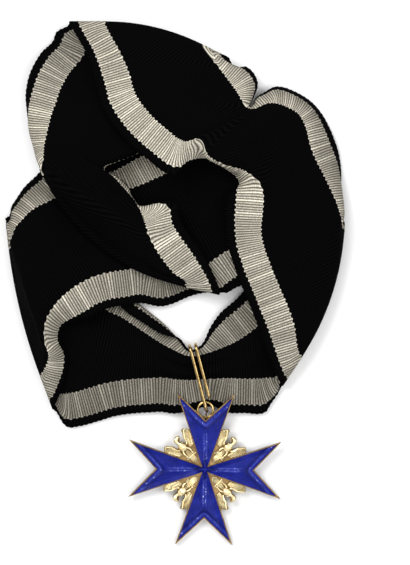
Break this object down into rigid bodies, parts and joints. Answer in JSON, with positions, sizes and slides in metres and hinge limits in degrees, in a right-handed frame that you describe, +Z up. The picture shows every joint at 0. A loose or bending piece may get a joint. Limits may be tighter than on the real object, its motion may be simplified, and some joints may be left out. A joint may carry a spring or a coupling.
{
  "type": "order_insignia",
  "caption": "Neck order lying flat: a blue enamelled gold Maltese cross with gold eagles between its arms, on a black ribbon with silver side stripes",
  "frame": {"origin": "bottom centre of the object's bounding box, as it lies on the table", "axes": "+X to the right of the picture, +Y to its top, +Z up from the table to the camera"},
  "size_m": [0.1186, 0.1827, 0.0202],
  "materials": {
    "ribbon_cloth": "matte",
    "gilt_metal": "polished",
    "blue_enamel": "glossy"
  },
  "bodies": {
    "root": {"ribbon": "ribbon_cloth", "cross_body": "gilt_metal", "enamel_front": "blue_enamel", "enamel_back": "blue_enamel", "ring": "gilt_metal", "wire_loop": "gilt_metal"}
  },
  "joints": []
}
